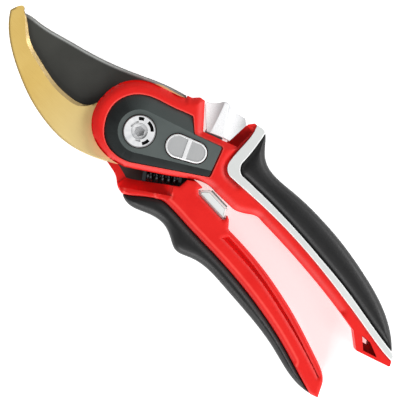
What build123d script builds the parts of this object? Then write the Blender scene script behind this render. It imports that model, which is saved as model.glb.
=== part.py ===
from build123d import *
import os
from math import cos, radians, sin

# Bypass pruning shears, lying on their back and closed.
# Origin: where the pivot axis meets the surface that the shears lie on.
# +X runs from the pivot to the handle ends, +Y is the thumb side, +Z comes out of the front.
# The hook, front casing and thumb handle are one half. The blade and finger handle are the other.
# All sizes are in millimetres.

# Heights, measured from the surface the shears lie on
SHEAR = 9.5
PLATE = 3.0
SLIP = 0.05
HOOK_BEVEL_W = 1.6
HOOK_BEVEL_H = 1.2
GRIND_W = 5.0
GRIND_H = 2.0
SPINE_BREAK = 0.8
BACK = 1.5
FACE = 17.5
GRIP_TOP = 19.0
HEAD_BACK = 2.3
CORE_LOW = 4.5
CORE_HIGH = 14.5
CASING_LIFT = 0.35
CASING_FLOOR = SHEAR + PLATE + SLIP
INSERT_SEAT = SHEAR + 5.2
INSERT_LOW = SHEAR + 6.6
INSERT_RAISED = SHEAR + 8.4
INSERT_SHRINK = 0.98
GRIP_ROUND = 2.5
EDGE_ROUND = 0.5
LOCK_ROUND = 0.8
TRIM_PROUD = 0.7
GROOVE_DEPTH = 1.1

# Dark panel: a raised teardrop round the pivot, with facets that fall away from it
DROP_R = 9.1
DROP_UPPER_TURN = 20.7
DROP_LOWER_TURN = 33.7
DROP_REACH = 45.0
INSERT_MIDDLE = (9.0, 3.0)
FACET_SPREAD = 6.5

# Pivot
BOLT_HEAD_R = 7.0
BOLT_HEAD_H = 1.6
SHANK_R = 4.0
THREAD_R = 3.4
RUNNING_GAP = 0.05
BUSH_R = 5.5
NUT_R = 6.8
NUT_WELL_R = 7.15
HEX_FLATS = 4.0
HEX_DEPTH = 1.8
WASHER_R = 6.5
NUT_NECK_R = 5.5
BACK_RECESS_R = 20.5

# Return spring: it lies on a line turned by SPRING_TURN, SPRING_OUT away from the pivot
SPRING_TURN = 38.0
SPRING_OUT = 17.2
SPRING_START = 5.5
SPRING_END = 19.2
SPRING_Z = SHEAR + 3.4
COIL_R = 2.0
WIRE_R = 0.6
COIL_TURNS = 5
PEG_R = 1.1
PEG_LENGTH = 2.0
SEAT_THICK = 1.2
SEAT_ROOM = 0.3
POCKET_IN = 14.3
POCKET_OUT = 24.0
POCKET_TOP = SHEAR + 6.5
SCOOP_IN = 14.0
SCOOP_R = 24.0
SCOOP_FLOOR = SHEAR + 0.4
RIDGE_OUT = 24.6

# Thumb lock
LOCK_TURN = 24.0
LOCK_LOW = 2.9
LOCK_HIGH = 16.1
LOCK_TRAVEL = 3.6
LIP = 1.1
LATCH_LOW = SHEAR + 0.5
LATCH_HIGH = SHEAR + 3.1
LATCH_ROOM = 0.3
RIDGE_MIDDLE = (19.4, 29.2)
RIDGE_TURN = -60.0
DISH_R = 7.1
DISH_DEPTH = 1.6
DISH_TILT = -7.0
DISH_OFFSET = 6.2

# Opening selector: two pads on a tapered oval
SELECTOR_TURN = 27.0
SELECTOR_LEFT = (15.3, 7.4)
SELECTOR_RIGHT = (22.7, 11.2)
SELECTOR_LEFT_R = 5.0
SELECTOR_RIGHT_R = 4.4
SELECTOR_TOP = SHEAR + 9.2
SELECTOR_BOTTOM = SHEAR + 6.2
SELECTOR_AXIS_Z = SHEAR + 6.9
SELECTOR_GAP = 0.45
PAD_DEPTH = 0.5
PAD_THICK = 0.2
RIM_WIDTH = 0.7
RIB_WIDTH = 1.7
SELECTOR_PIN_R = 0.7
SELECTOR_PIN_LENGTH = 12.6
SELECTOR_STOP = (23.4, 11.5)
STOP_R = 1.1

# Fasteners
SCREW_GAP = 0.06
SCREW_R = 1.1
SCREW_HEAD_R = 1.9
SCREW_HEAD_H = 1.3
SCREW_TIP = 14.0
RIVET_R = 1.5
RIVET_TOP = SHEAR + 5.0
RIVET_LOW = SHEAR - 6.0
SLOT_LENGTH = 2.2
SLOT_WIDTH = 0.4
SLOT_DEPTH = 0.5
THUMB_SCREWS = [(43.0, 10.4), (84.0, 14.2), (117.0, 11.5)]
FINGER_SCREWS = [(44.0, -6.6), (78.0, -8.2), (112.0, -14.4)]
HOOK_RIVETS = [(37.0, 11.0), (53.0, 12.0)]
BLADE_RIVETS = [(37.0, -6.0), (52.0, -6.6)]
LATCH_PIN_R = 0.9
LATCH_PIN = (22.2, 22.5)

# Pivot stack above the hook plate
LOCK_WASHER_TOP = SHEAR + PLATE + 0.6
NUT_NECK_TOP = SHEAR + 5.7
NUT_TOP = SHEAR + 9.3
BOLT_END = SHEAR + 8.3
NUT_WINDOWS = [(115, 140), (45, 92), (-32, 2)]
NUT_DIMPLES = [(142, 198), (-68, -38)]
WINDOW_DEPTH = 1.4
DIMPLE_DEPTH = 0.5

# Stop block between the handles
STOP_LOW = 2.5
STOP_HIGH = 16.5
STOP_CHAMFER = 1.0

# Lanyard hole, which narrows to a small slot in the back shell
LANYARD_FRONT = [(125.6, 9.8), (130.0, 10.3), (136.4, 8.0), (130.4, 5.8)]
LANYARD_BACK = [(125.9, 9.6), (129.6, 10.0), (130.6, 8.7), (127.8, 7.9)]


def outline(*runs):
    """Face inside runs of curve that follow on from each other."""
    edges = [edge for run in runs for edge in run.edges()]
    return Face(Wire(edges))


def polygon(corners):
    """Flat face with straight sides."""
    return Face(Wire.make_polygon([Vector(*corner) for corner in corners]))


def bearing(turn, reach):
    """Point at a distance from the pivot axis, on a bearing from +X."""
    return Vector(reach * cos(radians(turn)), reach * sin(radians(turn)))


def slab(face, low, high):
    """Plate of a flat outline between two heights."""
    return Pos(0, 0, low) * extrude(face, amount=high - low, dir=(0, 0, 1))


def between(low_face, low, high_face, high):
    """Plate whose outline changes from one face to another on its way up."""
    return Part() + loft([Pos(0, 0, low) * low_face, Pos(0, 0, high) * high_face], ruled=True)


def disc(radius, low, high, at=(0, 0)):
    """Upright cylinder between two heights."""
    return Pos(at[0], at[1], (low + high) / 2) * Cylinder(radius, high - low)


def ring(outer, inner, low, high):
    """Washer or bush about the pivot axis."""
    return disc(outer, low, high) - disc(inner, low - 1, high + 1)


def block(low, high):
    """Box between two corners."""
    size = [high[i] - low[i] for i in range(3)]
    middle = [(high[i] + low[i]) / 2 for i in range(3)]
    return Pos(*middle) * Box(*size)


def spring_block(along, outward, heights):
    """Box laid out along the return spring, from ranges along it, away from the pivot and in height."""
    low = (along[0], -outward[1], heights[0])
    high = (along[1], -outward[0], heights[1])
    return Rot(0, 0, SPRING_TURN) * block(low, high)


def top_edges(part):
    """Edges of a part's highest flat face."""
    return part.edges().group_by(Axis.Z)[-1]


def bottom_edges(part):
    """Edges of a part's lowest flat face."""
    return part.edges().group_by(Axis.Z)[0]


def save(part, name):
    """Write one node."""
    export_step(part, f"parts/{name}.step")


# ---------------------------------------------------------------- outlines of the steel


def set_back(points, depth):
    """Points of a jaw's edge moved across the jaw by a depth that fades out at its two ends."""
    last = len(points) - 1
    shares = [0.0 if i in (0, last) else 0.5 if i in (1, last - 1) else 1.0 for i in range(last + 1)]
    return [(x, y + depth * share) for (x, y), share in zip(points, shares)]


def hook_outline(bevel=0.0):
    """Curved lower jaw, the disc under the casing and the tang inside the thumb handle."""
    tip = Spline((-70.5, -0.7), (-71.7, 0.3), (-73.5, -1.8), (-74.3, -5.0))
    back = Spline((-74.3, -5.0), (-70.2, -9.8), (-60.2, -16.7), (-50.2, -21.2), (-40.2, -24.4),
                  (-30.2, -26.0), (-20.2, -26.0), (-10.2, -23.5), (-0.2, -18.5), (3.4, -16.2))
    tang = Polyline((3.4, -16.2), (4.0, -14.9), (26.1, 2.4), (36.0, 7.6), (52.0, 9.6), (60.0, 13.4),
                    (76.0, 13.6), (76.0, 18.0), (46.0, 17.6), (44.8, 14.4), (18.0, 13.6), (9.0, 17.6),
                    (3.2, 23.6), (2.0, 23.5))
    shoulder = Spline((2.0, 23.5), (-4.0, 21.4), (-9.5, 19.1), (-14.5, 13.0), (-18.6, 4.0),
                      (-19.6, -2.0), (-21.6, -5.4))
    throat = [(-21.6, -5.4), (-23.2, -8.3), (-26.2, -10.3), (-30.2, -11.4), (-35.2, -12.0),
              (-42.0, -11.7), (-50.2, -10.2), (-60.2, -7.2), (-67.0, -2.4), (-70.5, -0.7)]
    return outline(tip, back, tang, shoulder, Spline(*set_back(throat, -bevel)))


def blade_outline(grind=0.0, spine_break=0.0):
    """Blade, the disc round the pivot and the tang inside the finger handle."""
    spine = [(-70.8, -2.0), (-68.0, -0.6), (-62.2, 0.5), (-50.2, 3.8), (-40.2, 6.9),
             (-30.2, 10.5), (-20.2, 15.0), (-10.2, 20.0), (0.0, 24.0), (2.0, 24.6)]
    tang = Polyline((2.0, 24.6), (5.0, 22.0), (13.0, 13.0), (27.5, 2.5), (34.0, -1.8), (58.0, -4.2),
                    (58.0, -8.5), (34.0, -9.5), (22.0, -12.8), (13.5, -18.2), (4.0, -16.0),
                    (-17.0, -15.3), (-24.0, -15.0))
    edge = [(-24.0, -15.0), (-32.0, -16.2), (-42.0, -15.9), (-52.0, -13.7), (-61.0, -9.8),
            (-67.0, -5.6), (-70.8, -2.0)]
    return outline(Spline(*set_back(spine, -spine_break)), tang, Spline(*set_back(edge, grind)))


# ---------------------------------------------------------------- outlines of the thumb handle


def trim_edge():
    """Line between the red moulding and the trim, from the horn to the handle end."""
    return [
        Spline((31.5, 37.5), (33.0, 33.9), (33.7, 28.7), (34.2, 22.9), (34.8, 18.9)),
        ThreePointArc((34.8, 18.9), (36.4, 16.1), (40.0, 14.8)),
        Spline((40.0, 14.8), (50.0, 15.7), (62.0, 16.6), (76.0, 16.9), (92.0, 16.3), (108.0, 14.9),
               (124.0, 13.0), (134.0, 11.7), (141.4, 11.4)),
    ]


def grip_edge():
    """Line between the trim and the thumb grip, from the horn to the handle end."""
    return [
        Spline((36.2, 38.2), (38.0, 30.0), (38.8, 23.5)),
        ThreePointArc((38.8, 23.5), (39.9, 20.2), (42.8, 18.6)),
        Spline((42.8, 18.6), (50.0, 19.1), (62.0, 19.6), (76.0, 19.6), (92.0, 19.0), (108.0, 17.9),
               (124.0, 15.8), (139.4, 14.1)),
    ]


def casing_left():
    """Rounded head of the casing, from the notch above the pivot round to its lower rim."""
    return Spline((2.8, 23.4), (-6.0, 19.8), (-13.5, 16.4), (-19.1, 10.3), (-21.4, 0.0),
                  (-18.7, -9.4), (-12.0, -15.4), (-3.6, -17.1), (6.5, -14.6))


def thumb_outline():
    """Red moulding of the thumb half: the casing, the neck and the strip along the handle."""
    rim = Spline((6.5, -14.6), (14.8, -8.7), (24.8, -1.2), (32.5, 4.4), (36.0, 5.7), (40.0, 5.9))
    neck = Polyline((40.0, 5.9), (50.0, 6.5))
    arch = Spline((50.0, 6.5), (52.4, 7.2), (55.6, 9.2), (58.6, 11.3), (62.0, 11.8))
    under = Spline((62.0, 11.8), (80.0, 11.8), (100.0, 10.9), (121.5, 8.6))
    end = FilletPolyline((121.5, 8.6), (128.4, 3.7), (143.0, 9.2), (141.8, 11.4), (141.4, 11.4), radius=0.6)
    top = FilletPolyline((31.5, 37.5), (30.4, 37.5), (28.4, 34.6), (32.3, 34.3), (32.6, 25.4),
                         (18.1, 19.4), (9.2, 28.7), (6.8, 28.2), (4.6, 25.6), (2.8, 24.9), radius=0.4)
    step = Polyline((2.8, 24.9), (2.8, 23.4))
    return outline(casing_left(), rim, neck, arch, under, end, *trim_edge(), top, step)


def trim_outline():
    """Light strip between the red moulding and the thumb grip."""
    end = Polyline((141.4, 11.4), (141.0, 13.3), (139.4, 14.1))
    horn = Spline((36.2, 38.2), (34.0, 38.4), (31.5, 37.5))
    return outline(*trim_edge(), end, *grip_edge(), horn)


def thumb_grip_outline():
    """Soft thumb grip: a horn that stops the hand, then a long swell."""
    back = Spline((36.2, 38.2), (40.5, 33.9), (44.0, 30.7), (48.0, 29.0), (52.5, 28.6), (64.0, 29.8),
                  (76.0, 30.5), (92.0, 30.0), (108.0, 27.8), (122.0, 24.4), (131.0, 20.4), (139.4, 14.1))
    return outline(*grip_edge(), back)


def thumb_core_outline():
    """Rib of the moulding that the trim and the thumb grip are moulded round."""
    return outline(Spline((44.0, 14.0), (44.5, 25.0), (60.0, 25.5), (90.0, 25.5), (126.0, 18.0)),
                   Polyline((126.0, 18.0), (128.0, 11.0), (80.0, 12.5), (44.0, 14.0)))


# ---------------------------------------------------------------- outlines of the finger handle


def finger_edge():
    """Line between the red moulding and the finger grip, from the head to the handle end."""
    return Spline((13.9, -23.0), (16.5, -21.3), (20.0, -18.2), (24.0, -14.9), (27.0, -13.1), (31.0, -12.3),
                  (40.0, -12.3), (60.0, -12.2), (75.0, -12.7), (90.0, -14.2), (105.0, -16.9),
                  (118.0, -20.2), (128.7, -22.7))


def finger_top():
    """Hand side of the finger handle, from its tail to the bumper seat and the tip beside the casing."""
    return [
        Polyline((128.7, -22.7), (131.9, -21.5), (129.4, -16.8)),
        Spline((129.4, -16.8), (127.6, -14.5), (120.0, -10.9), (110.0, -7.9), (100.0, -5.2), (90.0, -3.2),
               (80.0, -1.7), (70.0, -0.9), (56.0, -0.8)),
        FilletPolyline((56.0, -0.8), (54.9, -0.6), (52.4, 2.1), (50.3, 3.0), (51.2, 1.1), (50.3, 0.0),
                       (36.2, 0.0), (34.4, 1.5), (35.1, 3.3), (31.8, 3.2), radius=0.25),
    ]


def finger_front_outline():
    """Front half of the finger handle, which stops at the spring window."""
    window = [
        Polyline((31.8, 3.2), (28.3, 0.7)),
        ThreePointArc((28.3, 0.7), (28.27, -1.5), (28.04, -3.7)),
        Polyline((28.04, -3.7), (12.6, -15.8), (9.9, -17.6), (9.4, -22.0)),
        Spline((9.4, -22.0), (11.5, -22.7), (13.9, -23.0)),
    ]
    return outline(finger_edge(), *finger_top(), *window)


def finger_back_outline():
    """Back half of the finger handle, which carries on as the cover behind the pivot."""
    cover = [
        Polyline((31.8, 3.2), (28.0, 2.6), (11.5, 12.5)),
        ThreePointArc((11.5, 12.5), (-16.9, 1.0), (-6.0, -15.9)),
        Spline((-6.0, -15.9), (0.6, -18.8), (7.1, -20.4), (9.4, -22.0), (13.9, -23.0)),
    ]
    return outline(finger_edge(), *finger_top(), *cover)


def finger_grip_outline():
    """Soft finger grip with two finger hollows."""
    hollows = Spline((128.7, -22.7), (118.0, -23.6), (104.0, -20.9), (88.0, -19.1), (72.0, -18.5),
                     (60.0, -18.6), (53.0, -20.5), (46.3, -22.9), (41.0, -20.8), (35.0, -19.1),
                     (28.0, -20.6), (20.0, -24.0), (13.9, -23.0))
    return outline(finger_edge(), hollows)


def finger_core_outline():
    """Rib of the moulding that the finger grip is moulded round."""
    return outline(Polyline((30.0, -10.0), (30.0, -15.5), (58.0, -15.5), (84.0, -15.8)),
                   Spline((84.0, -15.8), (100.0, -18.0), (116.0, -21.4)),
                   Polyline((116.0, -21.4), (118.0, -18.0), (60.0, -10.0), (30.0, -10.0)))


def groove_outline():
    """Long groove along the front of the finger handle."""
    upper = Spline((57.4, -2.7), (70.0, -3.1), (80.0, -4.1), (90.0, -5.7), (100.0, -7.8), (110.0, -10.5),
                   (126.0, -15.2))
    lower = Spline((126.0, -15.8), (110.0, -11.3), (100.0, -9.1), (90.0, -7.2), (80.0, -5.7), (70.0, -5.1),
                   (56.2, -5.1))
    far_end = Polyline((126.0, -15.2), (126.0, -15.8))
    near_end = Polyline((56.2, -5.1), (57.4, -2.7))
    return outline(upper, far_end, lower, near_end)


# ---------------------------------------------------------------- outlines on the head


def insert_outline():
    """Dark panel on the front of the casing."""
    left = Spline((6.0, 18.9), (0.0, 16.4), (-7.5, 13.4), (-12.9, 8.9), (-15.7, 0.0), (-13.4, -6.9),
                  (-6.0, -13.5), (2.0, -13.7), (8.0, -10.8))
    right = FilletPolyline((8.0, -10.8), (34.2, 8.4), (28.9, 21.2), (16.6, 16.0), (10.6, 20.8), (6.0, 18.9),
                           radius=1.1)
    return outline(left, right)


def teardrop_outline(spread=0.0):
    """Zone round the nut and past the selector, spread outwards by a margin."""
    upper = bearing(DROP_UPPER_TURN + 90, DROP_R + spread)
    lower = bearing(DROP_LOWER_TURN - 90, DROP_R + spread)
    upper_end = upper + bearing(DROP_UPPER_TURN, DROP_REACH)
    lower_end = lower + bearing(DROP_LOWER_TURN, DROP_REACH)
    round_end = ThreePointArc(upper, (-DROP_R - spread, 0), lower)
    return outline(round_end, Polyline(lower, lower_end, upper_end, upper))


def oval(grow):
    """Tapered oval of the selector, grown outwards by a margin."""
    left = Pos(*SELECTOR_LEFT) * Circle(SELECTOR_LEFT_R + grow)
    right = Pos(*SELECTOR_RIGHT) * Circle(SELECTOR_RIGHT_R + grow)
    return make_hull(left.edges() + right.edges())


def lock_outline():
    """Thumb lock seen from the front: two scoops either side of a ridge."""
    sides = FilletPolyline((10.0, 29.1), (10.1, 27.9), (19.0, 20.3), (28.5, 24.8), (28.5, 34.3), (26.3, 36.0),
                           radius=0.3)
    scoops = [
        Spline((26.3, 36.0), (22.6, 35.0), (20.0, 34.5), (17.8, 35.2)),
        Polyline((17.8, 35.2), (16.0, 35.1), (14.6, 33.9)),
        Spline((14.6, 33.9), (13.0, 31.4), (10.0, 29.1)),
    ]
    return outline(sides, *scoops)


def latch_outline(travel=0.0, margin=0.0):
    """Latch plate under the thumb lock, swept along its slide by a travel and grown by a margin."""
    along = bearing(LOCK_TURN, 1)
    across = bearing(LOCK_TURN + 90, 1)
    start = Vector(19.4, 18.0) - along * margin - across * margin
    end = start + along * (7.9 + travel + 2 * margin)
    rise = across * (5.0 + margin)
    return polygon([start, end, end + rise, start + rise])


# ---------------------------------------------------------------- thumb half


def make_hook_plate():
    """Hook jaw with its polished inner bevel and broken back edge."""
    top = SHEAR + PLATE
    plate = slab(hook_outline(), SHEAR + SLIP, top - HOOK_BEVEL_H)
    plate += between(hook_outline(), top - HOOK_BEVEL_H, hook_outline(HOOK_BEVEL_W), top)
    plate -= disc(SHANK_R + RUNNING_GAP, SHEAR - 1, top + 1)
    for at in HOOK_RIVETS:
        plate -= disc(RIVET_R + SCREW_GAP, SHEAR - 1, top + 1, at)
    for at in THUMB_SCREWS[:1]:
        plate -= disc(SCREW_R + SCREW_GAP, SHEAR - 1, top + 1, at)
    return plate


def make_thumb_front():
    """Front shell: casing over the pivot, neck and the front half of the thumb handle."""
    shell = slab(thumb_outline(), SHEAR, FACE)
    shell -= block((-40, -40, SHEAR - 1), (32.6, 45, SHEAR + CASING_LIFT))
    shell += slab(thumb_core_outline(), SHEAR, CORE_HIGH)
    shell -= block((27.0, 33.9, SHEAR - 1), (32.3, 40.0, FACE - LIP))
    shell -= slab(hook_outline(), SHEAR - 1, CASING_FLOOR)
    shell -= disc(NUT_WELL_R, SHEAR, FACE + 1)
    shell -= slab(insert_outline(), INSERT_SEAT, FACE + 1)
    shell -= slab(oval(SELECTOR_GAP), CASING_FLOOR + 1.0, FACE + 1)
    shell -= spring_block((-8.0, SPRING_END + SEAT_THICK), (POCKET_IN, POCKET_OUT), (SHEAR - 1, POCKET_TOP))
    shell -= slab(latch_outline(LOCK_TRAVEL, LATCH_ROOM), SHEAR - 1, LATCH_HIGH + LATCH_ROOM)
    shell -= slab(polygon(LANYARD_FRONT), SHEAR - 1, FACE + 1)
    for at in THUMB_SCREWS:
        shell -= disc(SCREW_R + SCREW_GAP, SHEAR - 1, SCREW_TIP + 0.2, at)
    for at in HOOK_RIVETS:
        shell -= disc(RIVET_R + SCREW_GAP, SHEAR, RIVET_TOP + 0.1, at)
    return shell


def make_thumb_back():
    """Back shell of the thumb handle, with the thin web behind the thumb lock."""
    shell = slab(thumb_outline(), BACK, SHEAR)
    behind_head = polygon([(-60, 60), (32.6, 60), (32.6, 25.4), (34.2, 14.0), (36.0, 7.0), (36.0, -40),
                           (-60, -40)])
    shell -= slab(behind_head, BACK - 1, SHEAR + 1)
    shell += slab(thumb_core_outline(), CORE_LOW, SHEAR)
    web = polygon([(27.8, 23.8), (32.8, 25.9), (32.6, 34.0), (31.3, 37.3), (30.4, 37.4), (28.3, 34.5)])
    shell += slab(web, BACK, BACK + LIP)
    shell -= slab(polygon(LANYARD_BACK), BACK - 1, SHEAR + 1)
    for at in THUMB_SCREWS:
        shell -= disc(SCREW_R + SCREW_GAP, BACK - 1, SHEAR + 1, at)
        shell -= disc(SCREW_HEAD_R + SCREW_GAP, BACK - 1, BACK + SCREW_HEAD_H, at)
    return shell


def make_head_insert():
    """Dark panel: raised teardrop, falling facets, nut hole and selector well."""
    middle = Pos(*INSERT_MIDDLE)
    face = middle * scale(middle.inverse() * insert_outline(), INSERT_SHRINK)
    crown = between(teardrop_outline(FACET_SPREAD), INSERT_LOW, teardrop_outline(), INSERT_RAISED)
    panel = slab(face, INSERT_SEAT, INSERT_LOW)
    panel += crown & slab(face, INSERT_LOW, INSERT_RAISED)
    panel -= disc(NUT_WELL_R, INSERT_SEAT - 1, FACE + 2)
    panel -= slab(oval(SELECTOR_GAP), INSERT_SEAT - 1, FACE + 2)
    return panel - selector_pin(SCREW_GAP)


def make_trim():
    """Light strip moulded round the rib of the thumb handle."""
    strip = slab(trim_outline(), BACK - TRIM_PROUD, FACE + TRIM_PROUD)
    return strip - slab(thumb_core_outline(), CORE_LOW, CORE_HIGH)


def make_grip(face, core):
    """Soft grip moulded round a rib."""
    grip = slab(face, 0, GRIP_TOP)
    grip = fillet(top_edges(grip) + bottom_edges(grip), GRIP_ROUND)
    return grip - slab(core, CORE_LOW, CORE_HIGH)


def make_pivot_bolt():
    """Pivot bolt: plain flat head, shank and threaded end with a hexagon socket."""
    bolt = chamfer(bottom_edges(disc(BOLT_HEAD_R, 0, BOLT_HEAD_H)), 0.4)
    bolt += disc(SHANK_R, BOLT_HEAD_H, SHEAR + PLATE)
    bolt += disc(THREAD_R, SHEAR + PLATE, BOLT_END)
    socket = extrude(RegularPolygon(HEX_FLATS / 2, 6, major_radius=False), HEX_DEPTH)
    return bolt - Pos(0, 0, BOLT_END - HEX_DEPTH) * socket


def make_pivot_nut():
    """Round nut with three curved wrench windows and two shallow dimples in its face."""
    nut = chamfer(top_edges(disc(NUT_R, NUT_NECK_TOP, NUT_TOP)), 0.4)
    nut += disc(NUT_NECK_R, LOCK_WASHER_TOP, NUT_NECK_TOP)
    nut -= disc(THREAD_R + SCREW_GAP, SHEAR, NUT_TOP + 1)
    window_band = ring(6.0, 4.6, NUT_TOP - WINDOW_DEPTH, NUT_TOP)
    for start, end in NUT_WINDOWS:
        nut -= window_band & sector(start, end)
    dimple_band = ring(4.35, 3.65, NUT_TOP - DIMPLE_DEPTH, NUT_TOP)
    for start, end in NUT_DIMPLES:
        nut -= dimple_band & sector(start, end)
    return nut


def sector(start, end):
    """Wedge between two bearings about the pivot axis, tall enough for the whole nut."""
    reach = 2 * NUT_R
    return slab(polygon([(0, 0), bearing(start, reach), bearing(end, reach)]), SHEAR, NUT_TOP + 1)


def make_fixed_seat():
    """Tab under the casing that holds the right end of the return spring."""
    heights = (SHEAR + 0.6, POCKET_TOP - SEAT_ROOM)
    tab = spring_block((SPRING_END, SPRING_END + SEAT_THICK), (POCKET_IN, 18.4), heights)
    return tab + guide(SPRING_END - PEG_LENGTH, SPRING_END)


def make_moving_seat():
    """Post on the blade tang that holds the left end of the return spring."""
    heights = (SHEAR - SLIP, POCKET_TOP - SEAT_ROOM)
    post = spring_block((SPRING_START - 1.5, SPRING_START), (14.9, 20.0), heights)
    return post + guide(SPRING_START, SPRING_START + PEG_LENGTH)


def guide(start, end):
    """Short peg inside one end of the return spring."""
    peg = Pos((start + end) / 2, -SPRING_OUT, SPRING_Z) * Rot(0, 90, 0) * Cylinder(PEG_R, end - start)
    return Rot(0, 0, SPRING_TURN) * peg


def make_return_spring():
    """Compression spring that opens the shears."""
    length = SPRING_END - SPRING_START - 2 * WIRE_R
    path = Helix(pitch=length / COIL_TURNS, height=length, radius=COIL_R)
    start = Plane(origin=path @ 0, z_dir=path % 0)
    coil = sweep(start * Circle(WIRE_R), path=path)
    lying = Pos(SPRING_START + WIRE_R, -SPRING_OUT, SPRING_Z) * Rot(0, 90, 0) * coil
    return Rot(0, 0, SPRING_TURN) * lying


def make_screws(places, tip, low):
    """Countersunk-pocket screws driven from the back, as separate solids."""
    screws = []
    for at in places:
        screw = disc(SCREW_HEAD_R, low, low + SCREW_HEAD_H - SLIP, at)
        screw += disc(SCREW_R, low + SLOT_DEPTH, tip, at)
        for length, width in ((SLOT_LENGTH, SLOT_WIDTH), (SLOT_WIDTH, SLOT_LENGTH)):
            screw -= Pos(at[0], at[1], low) * Box(length, width, 2 * SLOT_DEPTH)
        screws.append(screw)
    return Compound(children=[Part() + screw for screw in screws])


def make_rivet_set(places, low, high):
    """Flush rivets through a tang, as separate solids."""
    return Compound(children=[Part() + disc(RIVET_R, low, high, at) for at in places])


# ---------------------------------------------------------------- thumb lock


def make_thumb_lock():
    """Sliding lock that the thumb pushes along the casing: a ridge between two dishes."""
    saddle = slab(lock_outline(), LOCK_LOW, LOCK_HIGH)
    saddle = fillet(top_edges(saddle), LOCK_ROUND)
    for side in (-DISH_OFFSET, DISH_OFFSET):
        saddle -= dish(side)
    saddle -= slab(latch_outline(), LATCH_LOW, LATCH_HIGH)
    return saddle - disc(LATCH_PIN_R, SHEAR, LOCK_HIGH - 4, LATCH_PIN)


def dish(offset):
    """Cylinder that hollows the front of the thumb lock, to one side of its ridge."""
    middle = Vector(*RIDGE_MIDDLE) + bearing(RIDGE_TURN + 90, offset)
    place = Pos(middle.X, middle.Y, LOCK_HIGH + DISH_R - DISH_DEPTH) * Rot(0, 0, RIDGE_TURN)
    return place * Rot(0, 90 + DISH_TILT, 0) * Cylinder(DISH_R, 60)


def make_lock_latch():
    """Steel latch plate under the thumb lock."""
    return slab(latch_outline(), LATCH_LOW, LATCH_HIGH) - disc(LATCH_PIN_R, SHEAR, SHEAR + 4, LATCH_PIN)


def make_latch_pin():
    """Pin that holds the latch plate in the thumb lock."""
    return disc(LATCH_PIN_R, LATCH_LOW, LOCK_HIGH - 4, LATCH_PIN)


# ---------------------------------------------------------------- opening selector


def selector_frame():
    """Frame with its Y along the selector's pivot pin."""
    middle = [(SELECTOR_LEFT[i] + SELECTOR_RIGHT[i]) / 2 for i in range(2)]
    return Pos(middle[0], middle[1], SELECTOR_AXIS_Z) * Rot(0, 0, SELECTOR_TURN)


def selector_pin(grow=0.0):
    """Pin that the selector rocks on, grown outwards by a margin."""
    return selector_frame() * Rot(90, 0, 0) * Cylinder(SELECTOR_PIN_R + grow, SELECTOR_PIN_LENGTH + 2 * grow)


def pad_sketch():
    """Two recessed pads either side of the selector's cross rib."""
    rib = selector_frame() * Rectangle(RIB_WIDTH, 2 * SELECTOR_PIN_LENGTH)
    return oval(-RIM_WIDTH) - Pos(0, 0, -SELECTOR_AXIS_Z) * rib


def make_selector():
    """Rocking oval with a raised rim and a cross rib."""
    button = slab(oval(0), SELECTOR_BOTTOM, SELECTOR_TOP)
    button = chamfer(top_edges(button), 0.3)
    button -= extrude(Pos(0, 0, SELECTOR_TOP - PAD_DEPTH) * pad_sketch(), PAD_DEPTH + 1)
    return button - selector_pin(RUNNING_GAP)


def make_pads():
    """Grey inlays in the selector's two recesses."""
    return extrude(Pos(0, 0, SELECTOR_TOP - PAD_DEPTH) * pad_sketch(), PAD_THICK)


def make_selector_stop():
    """Peg under the selector that meets the latch train."""
    return disc(STOP_R, SHEAR + 4.8, SELECTOR_BOTTOM, SELECTOR_STOP)


# ---------------------------------------------------------------- blade half


def make_cutting_blade():
    """Blade with a ground edge at the back and a bright broken spine."""
    flat = SHEAR - PLATE + GRIND_H
    plate = between(blade_outline(GRIND_W), SHEAR - PLATE, blade_outline(), flat)
    top = SHEAR - SLIP
    plate += slab(blade_outline(), flat, top - SPINE_BREAK)
    plate += between(blade_outline(), top - SPINE_BREAK, blade_outline(0.0, SPINE_BREAK), top)
    plate -= disc(BUSH_R, SHEAR - PLATE - 1, SHEAR + 1)
    for at in BLADE_RIVETS:
        plate -= disc(RIVET_R + SCREW_GAP, SHEAR - PLATE - 1, SHEAR + 1, at)
    for at in FINGER_SCREWS[:1]:
        plate -= disc(SCREW_R + SCREW_GAP, SHEAR - PLATE - 1, SHEAR + 1, at)
    return plate


def make_finger_front():
    """Front shell of the finger handle: scoop below the window, ridge by the grip, long groove."""
    shell = slab(finger_front_outline(), SHEAR, FACE)
    shell = fillet(top_edges(shell), EDGE_ROUND)
    shell -= slab(groove_outline(), FACE - GROOVE_DEPTH, FACE + 1)
    middle = Pos(0, -(RIDGE_OUT + SCOOP_IN) / 2, SCOOP_FLOOR + SCOOP_R)
    shell -= Rot(0, 0, SPRING_TURN) * middle * Rot(90, 0, 0) * Cylinder(SCOOP_R, RIDGE_OUT - SCOOP_IN)
    shell -= spring_block((-12.0, 0.0), (SCOOP_IN, RIDGE_OUT), (SCOOP_FLOOR, FACE + 5))
    shell += slab(finger_core_outline(), SHEAR, CORE_HIGH)
    shell -= slab(blade_outline(), SHEAR - 1, SHEAR)
    for at in FINGER_SCREWS:
        shell -= disc(SCREW_R + SCREW_GAP, SHEAR - 1, SCREW_TIP + 0.2, at)
    return shell


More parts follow.
